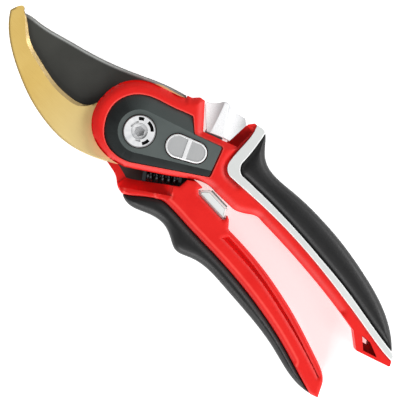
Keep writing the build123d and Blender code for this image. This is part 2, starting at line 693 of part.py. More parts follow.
def make_finger_back():
    """Back shell of the finger handle and the cover behind the pivot."""
    shell = slab(finger_back_outline(), BACK, SHEAR)
    shell = fillet(bottom_edges(shell), EDGE_ROUND)
    shell -= disc(BACK_RECESS_R, BACK - 1, HEAD_BACK)
    shell += slab(finger_core_outline(), CORE_LOW, SHEAR)
    shell -= slab(blade_outline(), SHEAR - PLATE, SHEAR + 1)
    shell -= disc(BUSH_R, 0, SHEAR + 1)
    for at in FINGER_SCREWS:
        shell -= disc(SCREW_R + SCREW_GAP, BACK - 1, SHEAR + 1, at)
        shell -= disc(SCREW_HEAD_R + SCREW_GAP, BACK - 1, BACK + SCREW_HEAD_H, at)
    for at in BLADE_RIVETS:
        shell -= disc(RIVET_R + SCREW_GAP, RIVET_LOW - 0.1, SHEAR, at)
    return shell


def make_bumper():
    """Stop block that the handles close on."""
    face = polygon([(36.4, 0.0), (50.1, 0.0), (51.0, 1.1), (48.4, 4.9), (38.1, 4.9), (34.7, 1.4)])
    stop = slab(face, STOP_LOW, STOP_HIGH)
    return chamfer(top_edges(stop) + bottom_edges(stop), STOP_CHAMFER)


def make_bumper_pad():
    """Soft strip on top of the stop block."""
    return block((38.6, 4.9, 3.5), (47.9, 5.5, 15.5))


def main():
    os.makedirs("parts", exist_ok=True)
    nodes = {
        "hook_plate": make_hook_plate(),
        "thumb_handle_front_shell": make_thumb_front(),
        "thumb_handle_back_shell": make_thumb_back(),
        "head_insert": make_head_insert(),
        "thumb_handle_trim": make_trim(),
        "thumb_grip": make_grip(thumb_grip_outline(), thumb_core_outline()),
        "pivot_bolt": make_pivot_bolt(),
        "pivot_nut": make_pivot_nut(),
        "lock_washer": ring(WASHER_R, THREAD_R + SCREW_GAP, SHEAR + PLATE, LOCK_WASHER_TOP),
        "thrust_washer": ring(WASHER_R, SHANK_R + RUNNING_GAP, BOLT_HEAD_H, HEAD_BACK - SLIP),
        "thumb_handle_screws": make_screws(THUMB_SCREWS, SCREW_TIP, BACK),
        "hook_rivets": make_rivet_set(HOOK_RIVETS, SHEAR + SLIP, RIVET_TOP),
        "fixed_spring_seat": make_fixed_seat(),
        "selector_pin": selector_pin(),
        "return_spring": make_return_spring(),
        "thumb_lock": make_thumb_lock(),
        "lock_latch": make_lock_latch(),
        "latch_pin": make_latch_pin(),
        "opening_selector": make_selector(),
        "selector_pads": make_pads(),
        "selector_stop": make_selector_stop(),
        "cutting_blade": make_cutting_blade(),
        "pivot_bush": ring(BUSH_R, SHANK_R + RUNNING_GAP, HEAD_BACK, SHEAR - SLIP),
        "finger_handle_front_shell": make_finger_front(),
        "finger_handle_back_shell": make_finger_back(),
        "finger_grip": make_grip(finger_grip_outline(), finger_core_outline()),
        "bumper": make_bumper(),
        "bumper_pad": make_bumper_pad(),
        "moving_spring_seat": make_moving_seat(),
        "blade_rivets": make_rivet_set(BLADE_RIVETS, RIVET_LOW, SHEAR - SLIP),
        "finger_handle_screws": make_screws(FINGER_SCREWS, SCREW_TIP, BACK),
    }
    for name, part in nodes.items():
        save(part, name)
        print(name, round(part.volume, 1))


main()
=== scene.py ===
"""Dresses a pair of bypass pruning shears: shaped pieces, finishes, floor, lights and camera.

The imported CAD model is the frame, in metres. Its origin is where the pivot axis meets the surface the
shears lie on, +X runs to the handle ends, +Y is the thumb side and +Z comes out of the front.
"""

import logging
import math
from collections.abc import Callable, Iterable
from dataclasses import dataclass, field
from enum import Enum

import bmesh
import bpy
from mathutils import Matrix, Vector
from mathutils.bvhtree import BVHTree
from mathutils.kdtree import KDTree


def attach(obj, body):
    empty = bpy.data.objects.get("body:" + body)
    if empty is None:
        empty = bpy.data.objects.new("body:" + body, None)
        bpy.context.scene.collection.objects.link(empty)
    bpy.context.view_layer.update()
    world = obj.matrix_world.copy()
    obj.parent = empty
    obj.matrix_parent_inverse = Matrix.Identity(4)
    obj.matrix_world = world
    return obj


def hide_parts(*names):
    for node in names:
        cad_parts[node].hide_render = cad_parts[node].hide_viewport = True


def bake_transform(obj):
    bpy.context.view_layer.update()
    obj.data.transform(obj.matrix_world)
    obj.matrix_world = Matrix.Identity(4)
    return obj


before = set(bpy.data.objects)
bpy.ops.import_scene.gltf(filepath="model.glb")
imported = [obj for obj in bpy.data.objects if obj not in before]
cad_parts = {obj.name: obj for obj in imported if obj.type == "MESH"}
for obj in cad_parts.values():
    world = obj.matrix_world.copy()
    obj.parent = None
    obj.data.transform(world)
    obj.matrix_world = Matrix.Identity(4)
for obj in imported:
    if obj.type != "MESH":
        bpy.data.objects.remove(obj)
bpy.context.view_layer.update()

MM = 0.001
SEAM = 0.002 * MM
FLAT_ANGLE = math.radians(0.6)
SHARP_ANGLE = math.radians(32)
LEVEL = 0.1 * MM
FLAT_UP = 0.99
UPRIGHT = 0.12
SAMPLE = 0.25 * MM
BESIDE = 0.08 * MM
IN_PLAN = (1.0, 1.0, 0.0)
DRAWN = (0.02, 1.0, 0.3)
DOWN = Vector((0.0, 0.0, -1.0))
ANY_FOOT = (-1.0 * MM, 20.0 * MM)

Colour = tuple[float, float, float]
EdgeTest = Callable[[bmesh.types.BMEdge], bool]
FaceTest = Callable[[bmesh.types.BMFace], bool]
FaceShare = Callable[[bmesh.types.BMFace], float]
Range = tuple[float, float]

log = logging.getLogger("shears")


# ---------------------------------------------------------------- finishes


def linear(red: int, green: int, blue: int) -> Colour:
    """Turn an everyday 0 to 255 colour into the linear colour that a shader reads.

    Args:
        red: Red from 0 to 255.
        green: Green from 0 to 255.
        blue: Blue from 0 to 255.

    Returns:
        The linear colour.
    """
    shares = [value / 255 for value in (red, green, blue)]
    bent = [s / 12.92 if s <= 0.04045 else ((s + 0.055) / 1.055) ** 2.4 for s in shares]
    return (bent[0], bent[1], bent[2])


class Bench:
    """Lays out and wires the nodes of one material or node group."""

    def __init__(self, tree: bpy.types.NodeTree) -> None:
        """Start on a tree.

        Args:
            tree: The node tree to fill.
        """
        self.tree = tree

    def add(self, kind: str, settings: dict | None = None, **values: object) -> bpy.types.Node:
        """Add a node, set its options and fill or wire its inputs.

        Args:
            kind: Node type, without the ShaderNode prefix.
            settings: Options of the node itself.
            **values: Input name, with underscores for spaces, to a value or an output to wire from.

        Returns:
            The new node.
        """
        node = self.tree.nodes.new("ShaderNode" + kind)
        for option, value in (settings or {}).items():
            setattr(node, option, value)
        for name, value in values.items():
            self.feed(node, name.replace("_", " "), value)
        return node

    def feed(self, node: bpy.types.Node, name: str | int, value: object) -> None:
        """Wire an output into an input, or set the input's own value.

        Args:
            node: The node that is fed.
            name: Name or number of its input.
            value: An output socket, or a plain value.
        """
        socket = node.inputs[name]
        if isinstance(value, bpy.types.NodeSocket):
            self.tree.links.new(value, socket)
        elif isinstance(value, tuple) and len(value) == 3 and socket.type == "RGBA":
            socket.default_value = (*value, 1.0)
        else:
            socket.default_value = value

    def maths(self, operation: str, first: object, second: object = 0.0) -> bpy.types.NodeSocket:
        """Add one sum.

        Args:
            operation: Blender's name for the sum.
            first: First number or output.
            second: Second number or output.

        Returns:
            The result.
        """
        node = self.add("Math", {"operation": operation})
        self.feed(node, 0, first)
        self.feed(node, 1, second)
        return node.outputs[0]

    def span(self, value: object, ends: Range, onto: Range) -> bpy.types.NodeSocket:
        """Map one range onto another, without leaving it.

        Args:
            value: The output to map.
            ends: Range it has.
            onto: Range it gets.

        Returns:
            The mapped output.
        """
        node = self.add("MapRange", {"clamp": True}, From_Min=ends[0], From_Max=ends[1])
        self.feed(node, "Value", value)
        self.feed(node, "To Min", onto[0])
        self.feed(node, "To Max", onto[1])
        return node.outputs[0]

    def blend(self, share: object, first: object, second: object) -> bpy.types.NodeSocket:
        """Mix two colours.

        Args:
            share: How much of the second shows.
            first: First colour.
            second: Second colour.

        Returns:
            The mixed colour.
        """
        node = self.add("Mix", {"data_type": "RGBA"})
        self.feed(node, 0, share)
        self.feed(node, 6, first)
        self.feed(node, 7, second)
        return node.outputs[2]


class Pattern(Enum):
    """Surface patterns that finishes are made with. Each is a node group giving Height and Tone."""

    GRAIN = "moulded_grain"
    LINES = "brushed_lines"
    STIPPLE = "rubber_stipple"
    TURNED = "turned_rings"
    FLAKES = "pearl_flakes"
    # Real turned rings in the height, with painted glint in the tone: bright and dark wedges round the pivot
    # axis.
    PAINTED_GLINT = "lathe_glint"

    def tree(self) -> bpy.types.NodeTree:
        """Give this pattern's node group, built the first time it is asked for.

        Returns:
            The group's tree, with a Size input and Height and Tone outputs.
        """
        if self.value in bpy.data.node_groups:
            return bpy.data.node_groups[self.value]
        tree = bpy.data.node_groups.new(self.value, "ShaderNodeTree")
        tree.interface.new_socket("Size", in_out="INPUT", socket_type="NodeSocketFloat")
        tree.interface.new_socket("Turn", in_out="INPUT", socket_type="NodeSocketFloat")
        for name in ("Height", "Tone"):
            tree.interface.new_socket(name, in_out="OUTPUT", socket_type="NodeSocketFloat")
        bench = Bench(tree)
        entry = tree.nodes.new("NodeGroupInput")
        exit_node = tree.nodes.new("NodeGroupOutput")
        place = bench.add("TexCoord").outputs["Object"]
        height = self.height(bench, place, entry)
        bench.feed(exit_node, "Height", height)
        # For the painted glint, the broad tone is a set of bright and dark wedges by bearing round the pivot
        # axis, which are painted reflections of turned metal.
        if self is Pattern.PAINTED_GLINT:
            flat = self.times(bench, place, IN_PLAN)
            bearing = bench.add("VectorMath", {"operation": "NORMALIZE"})
            bench.feed(bearing, 0, flat)
            broad = bench.add("TexNoise", Vector=bearing.outputs[0], Scale=2.2, Detail=1.0, Roughness=0.4)
        else:
            broad = bench.add("TexNoise", Vector=place, Scale=70.0, Detail=3.0, Roughness=0.55)
        fine = bench.maths("MULTIPLY", height, self.tone_share())
        cloud_and_painted_glint = bench.maths("MULTIPLY", broad.outputs[0], 1 - self.tone_share())
        bench.feed(exit_node, "Tone", bench.maths("ADD", cloud_and_painted_glint, fine))
        return tree

    def tone_share(self) -> float:
        """Tell how much the fine pattern shows in the colour, beside the broad cloudiness."""
        return {Pattern.LINES: 0.6, Pattern.FLAKES: 0.5, Pattern.TURNED: 0.6}.get(self, 0.3)

    def times(self, bench: Bench, place: object, factors: tuple[float, float, float]) -> bpy.types.NodeSocket:
        """Stretch a place along each axis.

        Args:
            bench: Bench of the group.
            place: The place.
            factors: Factor for each axis.

        Returns:
            The stretched place.
        """
        node = bench.add("VectorMath", {"operation": "MULTIPLY"})
        bench.feed(node, 0, place)
        bench.feed(node, 1, factors)
        return node.outputs[0]

    def height(self, bench: Bench, place: object, entry: bpy.types.Node) -> bpy.types.NodeSocket:
        """Build the fine pattern.

        Args:
            bench: Bench of the group.
            place: Object coordinates.
            entry: Group input, with Size in cycles per metre and Turn in radians.

        Returns:
            The height, about 0 to 1.
        """
        size = entry.outputs["Size"]
        if self is Pattern.STIPPLE:
            cells = bench.add("TexVoronoi", {"feature": "SMOOTH_F1"}, Vector=place, Scale=size)
            return bench.maths("SUBTRACT", 1.0, cells.outputs["Distance"])
        if self is Pattern.FLAKES:
            cells = bench.add("TexVoronoi", {"feature": "F1"}, Vector=place, Scale=size)
            return bench.add("SeparateColor", Color=cells.outputs["Color"]).outputs[0]
        if self is Pattern.LINES:
            turned = bench.add("VectorRotate", {"rotation_type": "Z_AXIS"}, Vector=place)
            bench.feed(turned, "Angle", entry.outputs["Turn"])
            drawn = self.times(bench, turned.outputs[0], DRAWN)
            return bench.add("TexNoise", Vector=drawn, Scale=size, Detail=4.0, Roughness=0.65).outputs[0]
        if self in (Pattern.TURNED, Pattern.PAINTED_GLINT):
            reach = bench.add("VectorMath", {"operation": "LENGTH"})
            bench.feed(reach, 0, self.times(bench, place, IN_PLAN))
            line = bench.add("CombineXYZ", X=reach.outputs["Value"]).outputs[0]
            return bench.add("TexNoise", Vector=line, Scale=size, Detail=3.0, Roughness=0.6).outputs[0]
        return bench.add("TexNoise", Vector=place, Scale=size, Detail=2.0, Roughness=0.5).outputs[0]


def handling_marks() -> bpy.types.NodeTree:
    """Build or give the node group of faint scuffs that every handled surface has.

    Returns:
        The group's tree, with one Mask output.
    """
    name = "handling_marks"
    if name in bpy.data.node_groups:
        return bpy.data.node_groups[name]
    tree = bpy.data.node_groups.new(name, "ShaderNodeTree")
    tree.interface.new_socket("Mask", in_out="OUTPUT", socket_type="NodeSocketFloat")
    bench = Bench(tree)
    exit_node = tree.nodes.new("NodeGroupOutput")
    place = bench.add("TexCoord").outputs["Object"]
    warp = bench.add("TexNoise", Vector=place, Scale=120.0, Detail=2.0)
    pushed = bench.add("VectorMath", {"operation": "MULTIPLY_ADD"})
    bench.feed(pushed, 0, warp.outputs["Color"])
    bench.feed(pushed, 1, (0.004, 0.004, 0.004))
    bench.feed(pushed, 2, place)
    scuff = bench.add("TexNoise", Vector=pushed.outputs[0], Scale=420.0, Detail=6.0, Roughness=0.72)
    bench.feed(exit_node, "Mask", bench.span(scuff.outputs[0], (0.56, 0.74), (0.0, 1.0)))
    return tree


@dataclass(frozen=True)
class Finish:
    """One finish: colour, gloss, the fine pattern that breaks them up, and an optional painted-light colour.
    """

    name: str
    colour: Colour
    shade: Colour
    roughness: float
    pattern: Pattern
    size: float
    depth: float
    turn: float = 0.0
    metallic: float = 0.0
    coat: float = 0.0
    coat_roughness: float = 0.08
    sheen: float = 0.0
    ior: float = 1.46
    spread: float = 0.06
    # Painted light: a colour laid over the faces the mesh marks. It is a painted highlight on some finishes
    # and painted shade on others.
    rim: Colour | None = None
    painted_light_share: float = 0.5
    scuff: float = 0.05
    warm: Colour | None = None
    warm_from: float = 0.0
    warm_to: float = 1.0

    def material(self) -> bpy.types.Material:
        """Give this finish's material, built the first time it is asked for.

        Returns:
            The material.
        """
        title = self.name + "_finish"
        if title in bpy.data.materials:
            return bpy.data.materials[title]
        made = bpy.data.materials.new(title)
        made.use_nodes = True
        made.node_tree.nodes.clear()
        bench = Bench(made.node_tree)
        fine = bench.add("Group", {"node_tree": self.pattern.tree()}, Size=self.size, Turn=self.turn)
        marks = bench.add("Group", {"node_tree": handling_marks()}).outputs["Mask"]
        tone = bench.span(fine.outputs["Tone"], (0.3, 0.7), (0.0, 1.0))
        colour = bench.blend(tone, self.shade, self.colour)
        if self.warm is not None:
            colour = bench.blend(self.drift(bench), colour, self.warm)
        # Mix in the painted highlight or painted shade colour, as the finish sets it, where the mesh marks
        # it.
        if self.rim is not None:
            edge = bench.add("Attribute", {"attribute_name": "rim"}).outputs["Fac"]
            painted_light_strength = bench.span(tone, (0.0, 1.0), (self.painted_light_share * 0.75, self.painted_light_share))
            colour = bench.blend(bench.maths("MULTIPLY", edge, painted_light_strength), colour, self.rim)
        even = bench.span(tone, (0.0, 1.0), (self.roughness - self.spread, self.roughness + self.spread))
        rough = bench.maths("ADD", even, bench.maths("MULTIPLY", marks, self.scuff))
        bump = bench.add("Bump", Strength=1.0, Distance=self.depth, Height=fine.outputs["Height"])
        shader = bench.add("BsdfPrincipled", Base_Color=colour, Roughness=rough, Normal=bump.outputs[0],
                           Metallic=self.metallic, Coat_Weight=self.coat, Coat_Roughness=self.coat_roughness,
                           Sheen_Weight=self.sheen, IOR=self.ior)
        output = bench.add("OutputMaterial")
        bench.feed(output, "Surface", shader.outputs[0])
        return made

    def drift(self, bench: Bench) -> bpy.types.NodeSocket:
        """Build the share of the second colour, which grows along the shears.

        Args:
            bench: Bench of the material.

        Returns:
            The share, 0 to 1.
        """
        along = bench.add("SeparateXYZ", Vector=bench.add("TexCoord").outputs["Object"]).outputs["X"]
        return bench.span(along, (self.warm_from, self.warm_to), (0.0, 1.0))


# RED's light painted-light colour is a painted highlight: on the pocket edges, along the finger handle's
# ridge and on the back shell's rounded edges.
RED = Finish("red_moulding", linear(228, 24, 15), linear(216, 16, 11), 0.5, Pattern.GRAIN, 900, 0.004 * MM,
             coat=0.05, coat_roughness=0.3, ior=1.42, rim=linear(255, 96, 86), painted_light_share=0.75)
# Painted shade: a deeper red with less gloss for the groove and the scoop.
RED_PAINTED_RECESS_SHADE = Finish("red_moulding_painted_recess_shade", linear(238, 14, 8), linear(226, 8, 6), 0.5, Pattern.GRAIN, 900,
                 0.004 * MM, ior=1.3)
# GOLD's brown painted-light colour is painted shade along the hook's outer edge.
GOLD = Finish("gold_titanium_steel", linear(250, 216, 130), linear(236, 196, 106), 0.42, Pattern.LINES, 9000,
              0.012 * MM, metallic=0.35, warm=linear(246, 226, 166), warm_from=-0.045, warm_to=0.0,
              rim=linear(104, 76, 34), painted_light_share=1.0)
GOLD_BEVEL = Finish("gold_bevel", linear(226, 200, 146), linear(204, 172, 110), 0.3, Pattern.LINES, 7000,
                    0.01 * MM, metallic=0.5)
# Painted shade: a darker brown copy of the gold for the hook's side walls.
GOLD_PAINTED_SHADE = Finish("gold_painted_shade", linear(120, 90, 40), linear(92, 66, 28), 0.45, Pattern.GRAIN, 4000,
                   0.01 * MM, metallic=0.3)
# BLADE's light grey painted-light colour is a painted highlight line beside the spine.
BLADE = Finish("black_blade_coating", linear(58, 58, 54), linear(46, 46, 43), 0.46, Pattern.GRAIN, 5000,
               0.006 * MM, coat=0.15, coat_roughness=0.3, warm=linear(72, 73, 68), warm_from=-0.04,
               warm_to=-0.075, rim=linear(190, 192, 190), painted_light_share=0.9)
SPINE = Finish("ground_spine", linear(206, 208, 206), linear(170, 172, 172), 0.3, Pattern.LINES, 9000,
               0.01 * MM, turn=math.radians(-20), metallic=0.4)
# PANEL's near-black painted-light colour is painted shade on the panel's slopes and sides.
PANEL = Finish("dark_panel", linear(92, 99, 97), linear(80, 87, 86), 0.46, Pattern.GRAIN, 3800,
               0.01 * MM, ior=1.36, rim=linear(2, 4, 6), painted_light_share=1.0)
# TRIM's white painted-light colour is a painted highlight on the trim's rounded edges.
TRIM = Finish("light_trim", linear(214, 216, 214), linear(202, 205, 204), 0.45, Pattern.GRAIN, 2600,
              0.008 * MM, rim=linear(250, 250, 250), painted_light_share=0.7)
GRIP = Finish("soft_grip_rubber", linear(19, 19, 20), linear(9, 9, 10), 0.5, Pattern.STIPPLE, 2400,
              0.035 * MM, sheen=0.04)
# CHROME's dark painted-light colour is painted shade on the steep faces of the nut and bolt; its pattern adds
# a painted glint.
CHROME = Finish("chrome_nut", linear(255, 255, 255), linear(222, 224, 227), 0.3, Pattern.PAINTED_GLINT, 5200,
                0.004 * MM, metallic=0.2, rim=linear(70, 72, 76), painted_light_share=0.9)
# Painted shadow: near-black for the faces inside the nut's wrench windows.
NUT_WINDOW_SHADOW = Finish("nut_window_shadow", linear(28, 28, 30), linear(16, 16, 18), 0.5, Pattern.GRAIN, 5000,
                    0.01 * MM, metallic=0.4)
STEEL = Finish("zinc_steel", linear(186, 188, 190), linear(156, 158, 160), 0.32, Pattern.TURNED, 4200,
               0.01 * MM, metallic=0.9)
LATCH = Finish("latch_steel", linear(170, 172, 174), linear(140, 142, 146), 0.35, Pattern.LINES, 8000,
               0.01 * MM, metallic=0.9)
SPRING = Finish("spring_steel", linear(70, 72, 74), linear(44, 46, 48), 0.28, Pattern.GRAIN, 6000,
                0.006 * MM, metallic=0.9)
SEAT = Finish("black_spring_seat", linear(58, 60, 62), linear(40, 42, 44), 0.4, Pattern.TURNED, 5200,
              0.008 * MM, metallic=0.5)
# PEARL's grey painted-light colour is painted shade on the lock's slopes.
PEARL = Finish("pearl_white_lock", linear(250, 250, 251), linear(243, 244, 245), 0.3, Pattern.FLAKES, 5200,
               0.0005 * MM, metallic=0.05, coat=0.5, coat_roughness=0.12, rim=linear(150, 153, 158),
               painted_light_share=0.8)
WHITE = Finish("white_selector", linear(240, 240, 240), linear(226, 226, 227), 0.3, Pattern.GRAIN, 2400,
               0.004 * MM, coat=0.4, coat_roughness=0.12)
PAD = Finish("grey_pad", linear(180, 181, 181), linear(166, 167, 168), 0.5, Pattern.LINES, 5200, 0.02 * MM,
             turn=math.radians(63))
# BUMPER's grey-green painted-light colour is painted shade on the stop's rounded edges.
BUMPER = Finish("silver_stop", linear(228, 230, 229), linear(212, 216, 215), 0.34, Pattern.LINES, 5200,
                0.006 * MM, rim=linear(150, 158, 155), painted_light_share=0.9)
BUMPER_SOFT = Finish("stop_pad_rubber", linear(128, 136, 130), linear(112, 120, 115), 0.6, Pattern.STIPPLE,
                     3000, 0.02 * MM)
BRONZE = Finish("bronze_bush", linear(176, 132, 78), linear(142, 100, 56), 0.4, Pattern.TURNED, 5200,
                0.01 * MM, metallic=0.9)


# ---------------------------------------------------------------- shaping


def put_down(shape: bmesh.types.BMesh, name: str, finishes: Iterable[Finish]) -> bpy.types.Object:
    """Write a bmesh out as an object with its finishes and smooth shading.

    Args:
        shape: The finished bmesh, which is used up.
        name: Name of the object.
        finishes: Its finishes, in the order of their slots.

    Returns:
        The object, at the origin.
    """
    for face in shape.faces:
        face.smooth = True
    for edge in shape.edges:
        edge.smooth = not edge.is_manifold or edge.calc_face_angle() < SHARP_ANGLE
    mesh = bpy.data.meshes.new(name)
    shape.to_mesh(mesh)
    shape.free()
    for stale in ("custom_normal", "UVMap"):
        if stale in mesh.attributes:
            mesh.attributes.remove(mesh.attributes[stale])
    for finish in finishes:
        mesh.materials.append(finish.material())
    made = bpy.data.objects.new(name, mesh)
    bpy.context.scene.collection.objects.link(made)
    return made


class NodeCopy:
    """A merged copy of one CAD node, shaped with bmesh and then shown in the node's place."""

    def __init__(self, node: str) -> None:
        """Copy the node's mesh, close its seams and join its flat areas.

        Args:
            node: Name of the CAD node.
        """
        self.node = node
        self.shape = bmesh.new()
        self.shape.from_mesh(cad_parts[node].data)
        bmesh.ops.remove_doubles(self.shape, verts=self.shape.verts, dist=SEAM)
        for face in self.shape.faces:
            face.material_index = 0
        bmesh.ops.dissolve_limit(self.shape, angle_limit=FLAT_ANGLE, verts=self.shape.verts,
                                 edges=self.shape.edges)
        # Per-corner share of the finish's painted-light colour: painted highlights and painted shade.
        self.rim = self.shape.loops.layers.float.new("rim")

    def corners(self, low: float, high: float, keep: EdgeTest | None = None) -> list[bmesh.types.BMEdge]:
        """Find the sharp outward edges between two heights.

        Args:
            low: Lowest height, in metres.
            high: Highest height, in metres.
            keep: A further test that an edge has to pass.

        Returns:
            The edges.
        """
        found = []
        for edge in self.shape.edges:
            if not edge.is_manifold or not edge.is_convex or edge.calc_face_angle() < SHARP_ANGLE:
                continue
            if all(low <= vert.co.z <= high for vert in edge.verts) and (keep is None or keep(edge)):
                found.append(edge)
        return found

    def round_off(self, edges: list[bmesh.types.BMEdge], width: float, segments: int = 3) -> "NodeCopy":
        """Round some edges and mark the new faces for the finish's painted-light colour, a painted highlight
        or painted shade on the rounded edges.

        Args:
            edges: The edges to round.
            width: Width of the rounding, in metres.
            segments: Steps across it.

        Returns:
            This copy.
        """
        made = bmesh.ops.bevel(self.shape, geom=edges, offset=width, offset_type="OFFSET", segments=segments,
                               profile=0.5, affect="EDGES", clamp_overlap=True, material=-1)
        for face in made["faces"]:
            for loop in face.loops:
                loop[self.rim] = 1.0
        return self

    def grid_top(self, top: float, cell: float) -> "NodeCopy":
        """Cut the flat top into small squares, so that it can be rolled.

        Args:
            top: Height of the flat top, in metres.
            cell: Size of the squares, in metres.

        Returns:
            This copy.
        """
        for axis in (0, 1):
            rest = [face for face in self.shape.faces if face.normal.z > FLAT_UP
                    and abs(face.calc_center_median().z - top) < LEVEL]
            normal = Vector((1 - axis, axis, 0))
            low = min(vert.co[axis] for face in rest for vert in face.verts)
            high = max(vert.co[axis] for face in rest for vert in face.verts)
            for step in range(1, int((high - low) / cell)):
                at = low + step * cell
                edges = {edge for face in rest for edge in face.edges}
                verts = {vert for face in rest for vert in face.verts}
                made = bmesh.ops.bisect_plane(self.shape, geom=[*rest, *edges, *verts], dist=SEAM / 4,
                                              plane_co=normal * at, plane_no=normal)
                rest = [part for part in made["geom"] if isinstance(part, bmesh.types.BMFace)
                        and max(vert.co[axis] for vert in part.verts) > at + SEAM]
        return self

    def foot(self, edge: bmesh.types.BMEdge, solid: BVHTree) -> float:
        """Find how deep it is just outside an edge.

        Args:
            edge: An edge at the top of a wall.
            solid: The piece, ready to be searched.

        Returns:
            Height of the floor there, or 0 where there is none.
        """
        wall = min(edge.link_faces, key=lambda face: abs(face.normal.z))
        middle = (edge.verts[0].co + edge.verts[1].co) / 2
        floor = solid.ray_cast(middle + (wall.normal + DOWN) * BESIDE, DOWN)[0]
        return 0.0 if floor is None else floor.z

    def top_line(self, lowest: float, feet: Range, keep: EdgeTest | None) -> KDTree:
        """Collect points along the top of the walls that have their foot between two heights.

        Args:
            lowest: Lowest height of the top of a wall, in metres.
            feet: Lowest and highest foot, in metres.
            keep: A further test that an edge has to pass.

        Returns:
            The points, ready to be searched.
        """
        solid = BVHTree.FromBMesh(self.shape)
        points = []
        for edge in self.shape.edges:
            if len(edge.link_faces) != 2 or min(vert.co.z for vert in edge.verts) < lowest:
                continue
            wall, lid = sorted(edge.link_faces, key=lambda face: face.normal.z)
            if abs(wall.normal.z) > UPRIGHT or lid.normal.z < UPRIGHT:
                continue
            if keep is not None and not keep(edge):
                continue
            if not feet[0] <= self.foot(edge, solid) <= feet[1]:
                continue
            start, end = (vert.co.to_2d().to_3d() for vert in edge.verts)
            count = max(1, round((end - start).length / SAMPLE))
            points += [start.lerp(end, step / count) for step in range(count + 1)]
        line = KDTree(len(points))
        for place, point in enumerate(points):
            line.insert(point, place)
        line.balance()
        return line

    def roll(self, lowest: float, feet: Range, reach: float, drop: float,
             painted_line: Range | None = None, keep: EdgeTest | None = None) -> "NodeCopy":
        """Let the top surface fall smoothly towards some of the walls.

        Args:
            lowest: Lowest height that still belongs to the top, in metres.
            feet: Lowest and highest foot of those walls, in metres.
            reach: How far from the walls it starts to fall, in metres.
            drop: How far it has fallen at the walls, in metres.
            painted_line: Distance from the walls and width of a line painted in the finish's painted-light
                colour, in metres.
            keep: A test that the top edge of a wall has to pass.

        Returns:
            This copy.
        """
        line = self.top_line(lowest, feet, keep)
        spots = [vert for vert in self.shape.verts if vert.co.z > lowest]
        away = {vert: line.find(vert.co.to_2d().to_3d())[2] for vert in spots}
        for vert in spots:
            vert.co.z -= drop * max(0.0, 1 - away[vert] / reach) ** 2
            if painted_line is None:
                continue
            painted_line_share = max(0.0, 1 - abs(away[vert] - painted_line[0]) / painted_line[1])
            for loop in vert.link_loops:
                loop[self.rim] = max(loop[self.rim], painted_line_share)
        self.shape.normal_update()
        return self

    def paint(self, test: FaceTest, slot: int) -> "NodeCopy":
        """Give the faces that pass a test another of the piece's finishes.

        Args:
            test: Picks the faces.
            slot: Place of the finish in the piece's list.

        Returns:
            This copy.
        """
        for face in self.shape.faces:
            if test(face):
                face.material_index = slot
        return self

    def shade(self, share: FaceShare) -> "NodeCopy":
        """Set how much of the finish's painted-light colour, painted shade or painted highlight, each face
        shows.

        Args:
            share: Gives the share for a face, 0 to 1.

        Returns:
            This copy.
        """
        self.shape.normal_update()
        for face in self.shape.faces:
            amount = share(face)
            for loop in face.loops:
                loop[self.rim] = amount
        return self

    def soften(self, voxel: float, passes: int) -> "NodeCopy":
        """Rebuild the surface on an even grid and relax it, as on a soft moulding.

        Args:
            voxel: Size of the grid, in metres.
            passes: Rounds of relaxing.

        Returns:
            This copy.
        """
        mesh = bpy.data.meshes.new("blank")
        self.shape.to_mesh(mesh)
        blank = bpy.data.objects.new("blank", mesh)
        bpy.context.scene.collection.objects.link(blank)
        grid = blank.modifiers.new("grid", "REMESH")
        grid.mode = "VOXEL"
        grid.voxel_size = voxel
        done = blank.evaluated_get(bpy.context.evaluated_depsgraph_get()).to_mesh()
        self.shape.clear()
        self.shape.from_mesh(done)
        bpy.data.objects.remove(blank)
        bpy.data.meshes.remove(mesh)
        for _ in range(passes):
            bmesh.ops.smooth_vert(self.shape, verts=self.shape.verts, factor=0.5,
                                  use_axis_x=True, use_axis_y=True, use_axis_z=True)
        self.rim = self.shape.loops.layers.float.get("rim") or self.shape.loops.layers.float.new("rim")
        return self

    def show(self, body: str, slot: str, *finishes: Finish) -> bpy.types.Object:
        """Put the copy in the node's place.

        Args:
            body: CAD body that it rides on.
            slot: Material slot in the record; not used.
            *finishes: Its finishes, in the order of their slots.

        Returns:
            The new object.
        """
        made = put_down(self.shape, self.node + "_dressed", finishes)
        even = made.modifiers.new("even_normals", "WEIGHTED_NORMAL")
        even.keep_sharp = True
        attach(made, body)
        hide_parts(self.node)
        log.info("%s: %d faces", made.name, len(made.data.polygons))
        return made


def carry_over(node: str, finish: Finish) -> None:
    """Give a CAD node whose shape is already right its finish.

    Args:
        node: Name of the node.
        finish: Its finish.
    """
    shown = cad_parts[node]
    shown.data.materials.clear()
    shown.data.materials.append(finish.material())
    log.info("%s: carried over in %s", node, finish.name)


# ---------------------------------------------------------------- the sub-assemblies


